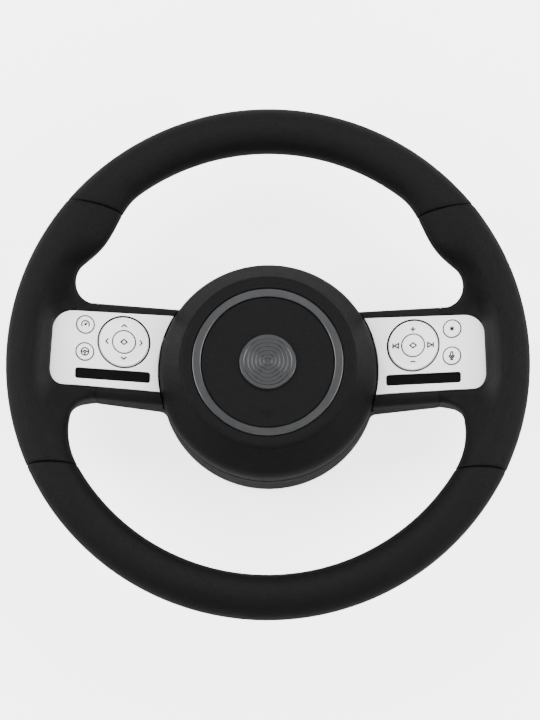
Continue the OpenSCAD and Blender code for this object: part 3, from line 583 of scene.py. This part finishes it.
def thumbEdge(a):
    near, off = rimIn - upCorner.length, a - rim["swellAngle"]
    if off < 0:
        fall = math.radians(90 * off / (rim["swellAngle"] - upCornerA))
        return rimIn - near - (rim["swell"] - near) * math.cos(fall)
    if off < rim["swellHalf"]:
        return rimIn - rim["swell"] * math.cos(math.radians(90 * off / rim["swellHalf"])) ** 2
    return rimIn


def heelEdge(a):
    s = (lowCornerA - a) / (lowCornerA - lowSeamIn(0))
    return rimIn - (rimIn - lowCorner.length) * (1 - s) ** 2


def swellRib(s, t):
    a = mixOf(rim["upSeamIn"], upCornerA, s)
    return (mixOf(rim["upSeamOut"], rim["runs"][0], s), polar(thumbEdge(a) + t, a),
            1 - ease(rim["lead"] * (2 * s - 1)))


def upperRib(s, t):
    return (mixOf(*rim["runs"][0:2], s),
            upperC + polar(rim["upperFillet"] + t, mixOf(rim["filletFrom"], -90, s)),
            1 - ease(mixOf(rim["lead"], 1, s)))


def faceRib(s, t):
    y0 = upperC.y - rim["upperFillet"] - t
    y1 = lowerC.y + math.sqrt((rim["lowerFillet"] + t) ** 2 - t * t)
    return mixOf(*rim["runs"][1:3], s), Vector((rim["rootX"] + t, mixOf(y0, y1, s))), 1.0


def lowerRib(s, t):
    r = rim["lowerFillet"] + t
    return (mixOf(*rim["runs"][2:4], s),
            lowerC + polar(r, math.degrees(math.acos(t / r)) * (1 - s)),
            ease((1 - rim["lead"]) * s))


def heelRib(s, t):
    a = mixOf(lowCornerA, lowSeamIn(t), s)
    return (mixOf(rim["runs"][3], lowSeamOut(t), s), polar(heelEdge(a) + t, a),
            ease(mixOf(1 - rim["lead"], 1, s / rim["heelEase"])))


def topRib(s, t):
    a = mixOf(rim["upSeamIn"], 180 - rim["upSeamIn"], s)
    return (mixOf(rim["upSeamOut"], 180 - rim["upSeamOut"], s),
            polar(thumbEdge(min(a, 180 - a)) + t, a), 0.0)


def bottomRib(s, t):
    y = -rim["lowSeamY"] - rim["seamGap"]
    out = math.degrees(math.asin(y / (rim["radius"] - t)))
    inn = math.degrees(math.asin(y / (rimIn + t)))
    return mixOf(out, -180 - out, s), polar(rimIn + t, mixOf(inn, -180 - inn, s)), 0.0


def onCircle(p, q, r):
    d = q - p
    a, b, c = d.dot(d), 2 * p.dot(d), p.dot(p) - r * r
    return p + d * (-b - math.sqrt(b * b - 4 * a * c)) / (2 * a)


def spokeDepth(p, t):
    return min((p - upperC).length - rim["upperFillet"] - t,
               (p - lowerC).length - rim["lowerFillet"] - t)


def slopeRoom(t, f):  # a sloping surface is inset by more than t of height, most half way
    return 4 * t * f * (1 - f)


outerAngles = [270 - 7.5 * k for k in range(25)]  # the points of a rib, over the outer half
innerAngles = [90 - 5.0 * k for k in range(1, 36)]  # and back under the inner half


def section(rib, t):
    outAngle, edge, share = rib
    o = polar(rim["radius"] - t, outAngle)
    c = onCircle(o, edge, coreR)
    length = (edge - c).length
    g = gripR - t
    wallA = rim["wallA"]
    points = []
    for a in outerAngles:
        p = mixOf(c, o, abs(math.cos(math.radians(a))))
        points.append((p.x, p.y, rim["height"] + g * math.sin(math.radians(a))))
    for a in innerAngles:
        cosA = math.cos(math.radians(a))
        flat = min(1, cosA / math.cos(math.radians(wallA)))
        p = mixOf(c, edge, mixOf(cosA, flat, share))
        ps = mixOf(c, edge, flat)
        depth = spokeDepth(ps, t)
        crown, belly = (ease(flat * length / rim[k]) for k in ("crownDrop", "bellyDrop"))
        top = mixOf(frameHeight(ps.x) - t - rounding(depth, rim["edgeTopR"]),
                    rim["height"] + gripR - t, crown) - rim["crownRoom"] * slopeRoom(t, crown)
        low = mixOf(rim["spokeLowZ"] + t + rounding(depth, rim["edgeLowR"]),
                    rim["height"] - gripR + t, belly) + rim["bellyRoom"] * slopeRoom(t, belly)
        side = 1 if a > wallA else 0 if a < -wallA else (a + wallA) / (2 * wallA)
        sinA = math.sin(math.radians(a))
        z = mixOf(rim["height"] + g * sinA, mixOf(low, top, side), share)
        points.append((p.x, p.y, z - rim["turnRoom"] * slopeRoom(t, share) * sinA))
    return points


def seamInset(distance):
    return rounding(distance, rim["seamRound"]) / rim["seamRound"] * rim["seamDepth"]


def stations(length, steps, atStart=True, atEnd=True):
    # shares along a strip of leather, closer together beside a seam
    near, clear = strip["nearSeam"], strip["clear"]
    shares = [k / steps for k in range(steps + 1)]
    shares = [s for s in shares if not ((atStart and s * length < clear) or
                                        (atEnd and (1 - s) * length < clear))]
    if atStart:
        shares = [d / length for d in near] + shares
    if atEnd:
        shares = shares + [1 - d / length for d in reversed(near)]
    return shares


def leatherStrip(name, outerRings, innerRings, mirrored=False):
    bm = bmesh.new()
    outer = [addLoop(bm, ring) for ring in outerRings]
    keep = strip["evenKeep"]
    between = [e.verts[0] for ring in outer[keep:-keep] for e in ring
               if e.verts[0].co.x > (rim["rootX"] + strip["evenFrom"]) * mm]
    inner = [addLoop(bm, ring) for ring in innerRings]
    bridgeLoops(bm, outer)
    for _ in range(strip["evenTimes"]):  # evens out the turn into the spoke
        bmesh.ops.smooth_vert(bm, verts=between, factor=strip["evenShare"], use_axis_x=True,
                              use_axis_y=True, use_axis_z=True)
    bridgeLoops(bm, inner)
    bridgeLoops(bm, [outer[0], inner[0]])
    bridgeLoops(bm, [outer[-1], inner[-1]])
    if mirrored:
        bmesh.ops.scale(bm, vec=(-1, 1, 1), verts=bm.verts)
    bmesh.ops.recalc_face_normals(bm, faces=bm.faces)
    return makeObject(name, bm, materials["leather"], None, strip["sharpAngle"])


def seamedStrip(run, ribOf, gap):
    # a length of leather with a seam at both ends: its outer rings and its lining's
    length, steps = strip[run]
    full, cut, lip = rim["leather"], gap / length, rim["seamLip"] / length
    rings, lining = [], []
    for s in stations(length, steps):
        t = seamInset(min(s, 1 - s) * length)
        rings.append(section(ribOf(mixOf(cut, 1 - cut, s), t), t))
        lining.append(section(ribOf(mixOf(cut + lip, 1 - cut - lip, s), full), full))
    return rings, lining


def thumbStrip():
    # the leather of a thumb grip and a spoke's end, with a seam at both ends
    rings, lining = [], []
    full, lip = rim["leather"], rim["seamLip"]

    def addRib(ribOf, s, t, inner):
        rings.append(section(ribOf(s, t), t))
        lining.append(section(ribOf(inner, full), full))

    length, steps = strip["swell"]
    for s in stations(length, steps, atEnd=False)[:-1]:
        addRib(swellRib, s, seamInset(s * length), mixOf(lip / length, 1, s))
    for ribOf, run in ((upperRib, "upper"), (faceRib, "face"), (lowerRib, "lower")):
        for k in range(strip[run]):
            addRib(ribOf, k / strip[run], 0, k / strip[run])
    length, steps = strip["heel"]
    for s in stations(length, steps, atStart=False):
        addRib(heelRib, s, seamInset((1 - s) * length), s * (1 - lip / length))
    return rings, lining


# a switch panel's outline about its own middle, and the room cut for it in the leather
bezel = {"out": 52.7, "lean": 1.4, "top": 20.9, "low": -32.5, "lowHub": -34.8, "hub": -40.0,
         "lowR": 10.0, "topR": 15.0, "roomGap": 0.4, "roomLow": -4.4, "roomHigh": 40}


def bezelOutline(o, steps=10):
    out, low, lowR, topR = (bezel[k] for k in ("out", "low", "lowR", "topR"))
    lowMiddle = Vector((out - lowR, low + lowR))
    topMiddle = Vector((out - bezel["lean"] - topR, bezel["top"] - topR))
    points = [(bezel["hub"], bezel["lowHub"] - o), (out - lowR, low - o)]
    points += [tuple(lowMiddle + polar(lowR + o, -90 + 90 * k / steps))
               for k in range(1, steps + 1)]
    points += [tuple(topMiddle + polar(topR + o, 90 * k / steps)) for k in range(steps + 1)]
    return points + [(bezel["hub"], bezel["top"] + o)]


def sideMatrix(side):
    # from a panel's own middle to its place: side is 1 on the right and -1 on the left
    place = Matrix.Translation(Vector((side * pad["x"], pad["y"], pad["z"])) * mm)
    return place @ Matrix.Rotation(math.radians(-side * pad["tilt"]), 4, "Y")


def switchRoom(name, side):
    bm = bmesh.new()
    low = bezel["roomLow"]
    face = bm.faces.new([bm.verts.new((x * mm, y * mm, low * mm))
                         for x, y in bezelOutline(bezel["roomGap"])])
    raiseFaces(bm, [face], bezel["roomHigh"] - low)
    flip = Matrix.Scale(side, 4, (1, 0, 0))
    bmesh.ops.transform(bm, matrix=flip @ sideMatrix(1), verts=bm.verts)
    bmesh.ops.recalc_face_normals(bm, faces=bm.faces)
    return makeObject(name, bm, materials["foam"], None)


def cutWith(piece, cutter):
    change = piece.modifiers.new("cut", "BOOLEAN")
    change.operation = "DIFFERENCE"
    change.solver = "EXACT"
    change.object = cutter
    graph = bpy.context.evaluated_depsgraph_get()
    mesh = bpy.data.meshes.new_from_object(piece.evaluated_get(graph))
    piece.modifiers.clear()
    old = piece.data
    piece.data = mesh
    mesh.name = piece.name
    bpy.data.meshes.remove(old)
    bpy.data.objects.remove(cutter)


def markSeams(piece):
    # how near each vertex is to a seam: 1 on it, 0 from a few mm away
    a, b = polar(rim["radius"], rim["upSeamOut"]), polar(rimIn, rim["upSeamIn"])
    way = (b - a).normalized()
    attribute = piece.data.attributes.new("seamNear", "FLOAT", "POINT")
    for vertex, value in zip(piece.data.vertices, attribute.data):
        p = Vector((abs(vertex.co.x), vertex.co.y)) / mm
        gap = min(abs(p.y + rim["lowSeamY"]), abs(way.cross(p - a)))
        value.value = max(0.0, 1 - gap / rim["seamReach"])


def makeLeather():
    rings, lining = thumbStrip()
    strips = [("topWrap", *seamedStrip("top", topRib, rim["seamGap"]), "leather_top", 0),
              ("bottomWrap", *seamedStrip("bottom", bottomRib, 0), "leather_bottom", 0),
              ("rightWrap", rings, lining, "leather_right", 1),
              ("leftWrap", rings, lining, "leather_left", -1)]
    for name, outer, inner, node, side in strips:
        piece = leatherStrip(name, outer, inner, side < 0)
        if side:
            cutWith(piece, switchRoom(name + "Room", side))
        markSeams(piece)
        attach(piece, "wheel")
        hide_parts(node)


makeLeather()
print("stage: leather")


sharpest = 0.4  # keeps the corner of a narrow angle from growing into a spike


def ribbon(bm, points, width, low, high, closed=False):
    # a bar of even width along a flat line of points, standing from low to high
    count = len(points)
    lines = [Vector(p) for p in points]
    left, right = [], []
    for k, here in enumerate(lines):
        before = lines[k - 1] if closed or k else None
        after = lines[(k + 1) % count] if closed or k < count - 1 else None
        ways = [(b - a).normalized() for a, b in ((before, here), (here, after))
                if a is not None and b is not None]
        sides = [Vector((-w.y, w.x)) for w in ways]
        side = sum(sides, Vector((0, 0))).normalized()
        reach = width / 2 / max(sharpest, side.dot(sides[0]))
        for row, end in ((left, reach), (right, -reach)):
            row.append(bm.verts.new((*(here + side * end) * mm, low * mm)))
    edges = [bm.edges.new(pair) for row in (left, right)
             for pair in zip(row, row[1:] + (row[:1] if closed else []))]
    raiseFaces(bm, bmesh.ops.bridge_loops(bm, edges=edges)["faces"], high - low)


def moved(points, at, turn=0.0):
    return [tuple(polar(Vector(p).length, math.degrees(math.atan2(p[1], p[0])) + turn)
                  + Vector(at)) for p in points]


def ringOf(radius, start=0, end=360, steps=28):
    last = steps if end - start < 360 else steps - 1
    return [tuple(polar(radius, start + (end - start) * k / steps)) for k in range(last + 1)]


# each sign is a list of (points, closed) lines, in mm about its own middle
signs = {
    "chevron": [([(-2, -0.9), (0, 0.9), (2, -0.9)], False)],
    "diamond": [([(0, 1.85), (-2.35, 0), (0, -1.85), (2.35, 0)], True)],
    "plus": [([(-1.8, 0), (1.8, 0)], False), ([(0, -1.8), (0, 1.8)], False)],
    "minus": [([(-1.8, 0), (1.8, 0)], False)],
    "skip": [([(2.1, -1.8), (2.1, 1.8)], False), ([(1.3, 0), (-1.9, 1.7), (-1.9, -1.7)], True)],
    "gauge": [(ringOf(2.7, -35, 215), False), ([(0, 0), (1.15, 1.35)], False),
              (ringOf(0.45, steps=10), True)],
    "wheel": [(ringOf(2.7), True), (ringOf(0.8, steps=14), True),
              ([(-2.5, 0.1), (-0.9, 0.1)], False), ([(0.9, 0.1), (2.5, 0.1)], False),
              ([(0, -0.9), (0, -2.5)], False)],
    "star": [([(0, -1.65), (0, 1.65)], False), ([(-1.43, -0.83), (1.43, 0.83)], False),
             ([(-1.43, 0.83), (1.43, -0.83)], False)],
    "voice": [([(-0.8, 0.3), (-0.8, 2.1), (-0.4, 2.8), (0.4, 2.8), (0.8, 2.1), (0.8, 0.3),
                (0.4, -0.4), (-0.4, -0.4)], True),
              ([(-1.8, 0.5), (-1.6, -0.7), (-0.8, -1.5), (0.8, -1.5), (1.6, -0.7),
                (1.8, 0.5)], False),
              ([(0, -1.6), (0, -2.8)], False), ([(-1.2, -2.8), (1.2, -2.8)], False)],
    "horn": [([(-4.6, 0.9), (-1.6, 0.9), (3.2, 2.9), (3.2, -1.9), (-1.6, 0.1),
               (-4.6, 0.1)], True),
             ([(-2.9, 0.1), (-2.9, -2.2), (0.4, -2.2), (0.4, -0.7)], False),
             (ringOf(0.55, steps=12), True)],
}
ringTop = (0.02, 0.36)  # from where to where the signs on each surface stand
buttonTop = (0.3, 0.64)
centreTop = (0.2, 0.52)
signPlaces = [  # (node, name, sign, place, turn, levels)
    ("rocker_left", "upMark", "chevron", (0, 11.7), 0, ringTop),
    ("rocker_left", "downMark", "chevron", (0, -11.7), 180, ringTop),
    ("rocker_left", "leftMark", "chevron", (-12.1, 0), 90, ringTop),
    ("rocker_left", "rightMark", "chevron", (12.1, 0), -90, ringTop),
    ("rocker_right", "louderMark", "plus", (-0.2, 11.8), 0, ringTop),
    ("rocker_right", "quieterMark", "minus", (0, -11.8), 0, ringTop),
    ("rocker_right", "backMark", "skip", (-12.4, 0), 180, ringTop),
    ("rocker_right", "nextMark", "skip", (12.4, 0), 0, ringTop),
    ("center_button_left", "leftOkMark", "diamond", (0, 0), 0, centreTop),
    ("center_button_right", "rightOkMark", "diamond", (0, 0), 0, centreTop),
    ("upper_button_left", "gaugeMark", "gauge", (-27.9, 11.2), 0, buttonTop),
    ("lower_button_left", "wheelMark", "wheel", (-27.9, -8.5), 0, buttonTop),
    ("upper_button_right", "starMark", "star", (27.9, 11.2), 0, buttonTop),
    ("lower_button_right", "voiceMark", "voice", (27.9, -8.5), 0, buttonTop)]


signStep = 0.01  # lines that cross lie at slightly different heights


def makeSign(name, lines, width, at, turn, levels, matrix, material, body):
    bm = bmesh.new()
    for k, (points, closed) in enumerate(lines):
        ribbon(bm, moved(points, at, turn), width, levels[0], levels[1] + signStep * k, closed)
    bmesh.ops.transform(bm, matrix=matrix, verts=bm.verts)
    bmesh.ops.recalc_face_normals(bm, faces=bm.faces)
    return makeObject(name, bm, material, body)


# black rings in the gaps round the buttons, lapped over what holds them, as painted shade where
# the gaps fall dark:
# (name, what they ride on, [(button's radius, from, to, place)], top)
gapShadeRings = [("ButtonGapShade", "wheel", [(18.0, 0.28, 1.15, (0, 0)), (6.0, 0.05, 0.85, (27.9, 11.2)),
                                   (6.0, 0.05, 0.85, (27.9, -8.5))], 0.03),
         ("CentreGapShade", "rocker", [(7.9, 0.05, 0.8, (0, 0))], 0.38)]
gapShadeFoot = -1.6


def makeGapShade():
    for side, word in ((1, "right"), (-1, "left")):
        for name, carrier, rings, top in gapShadeRings:
            bm = bmesh.new()
            for radius, start, end, at in rings:
                line = moved(ringOf(radius + (start + end) / 2, steps=96), (side * at[0], at[1]))
                ribbon(bm, line, end - start, gapShadeFoot, top, True)
            bmesh.ops.transform(bm, matrix=sideMatrix(side), verts=bm.verts)
            bmesh.ops.recalc_face_normals(bm, faces=bm.faces)
            body = carrier if carrier == "wheel" else carrier + "_" + word
            # painted shade: black foam rings that darken each button's gap and its edge
            makeObject(word + name, bm, materials["foam"], body)


makeGapShade()
print("stage: painted shade round the buttons")


printed = {"width": 0.92, "hornWidth": 0.55, "hornPlace": (0, -36.4), "hornTop": (-0.2, 0.25),
           "hornHeight": 75.9}


def makeSigns():
    for node, name, sign, at, turn, levels in signPlaces:
        side = -1 if node.endswith("left") else 1
        makeSign(name, signs[sign], printed["width"], at, turn, levels, sideMatrix(side),
                 materials["greyPrint"], node)
    lift = Matrix.Translation((0, 0, printed["hornHeight"] * mm))
    makeSign("hornMark", signs["horn"], printed["hornWidth"], printed["hornPlace"], 0,
             printed["hornTop"], lift, materials["coverPlastic"], "airbag_module")


makeSigns()
print("stage: signs")

seal = {"x": 121.1, "width": 1.7, "inset": 1.3, "topY": 40.5, "lowY": -16.5, "start": -0.05,
        "end": 0.5}
arm = {"innerX": 60, "innerTopY": 45.5, "innerLowY": -25.5,
       "underside": 3}  # the underside rises by 1 mm in this length


def armOutline(x, t, steps=8):
    # the spoke arm's outline as (y, z), over its outer edges and its underside
    slope = (x - rim["rootX"]) / (rim["rootX"] - arm["innerX"])
    top = rim["spokeTopY"] - t + slope * (rim["spokeTopY"] - arm["innerTopY"])
    low = rim["spokeLowY"] + t + slope * (rim["spokeLowY"] - arm["innerLowY"])
    roof = frameHeight(x) - t
    base = rim["spokeLowZ"] + t + (x - rim["rootX"]) / arm["underside"]
    ra, rb = rim["edgeTopR"] - t / 2, rim["edgeLowR"] - t
    corners = [(top - ra, roof - ra, ra, 90, 0), (top - rb, base + rb, rb, 0, -90),
               (low + rb, base + rb, rb, -90, -180), (low + ra, roof - ra, ra, 180, 90)]
    points = [(seal["topY"], roof)]
    for y, z, r, start, end in corners:
        points += [(y + polar(r, mixOf(start, end, k / steps)).x,
                    z + polar(r, mixOf(start, end, k / steps)).y) for k in range(steps + 1)]
    return points + [(seal["lowY"], roof)]


def makeSeals():
    # a dark strip closes the gap between the leather and the spoke arm
    upright = Matrix(((0, 0, 1, 0), (1, 0, 0, 0), (0, 1, 0, 0), (0, 0, 0, 1)))
    for name, side in (("rightSeal", 1), ("leftSeal", -1)):
        bm = bmesh.new()
        ribbon(bm, armOutline(seal["x"], seal["inset"]), seal["width"], seal["x"] + seal["start"],
               seal["x"] + seal["end"])
        bmesh.ops.transform(bm, matrix=Matrix.Scale(side, 4, (1, 0, 0)) @ upright, verts=bm.verts)
        bmesh.ops.recalc_face_normals(bm, faces=bm.faces)
        makeObject(name, bm, materials["foam"], "wheel")


makeSeals()
print("stage: seals")
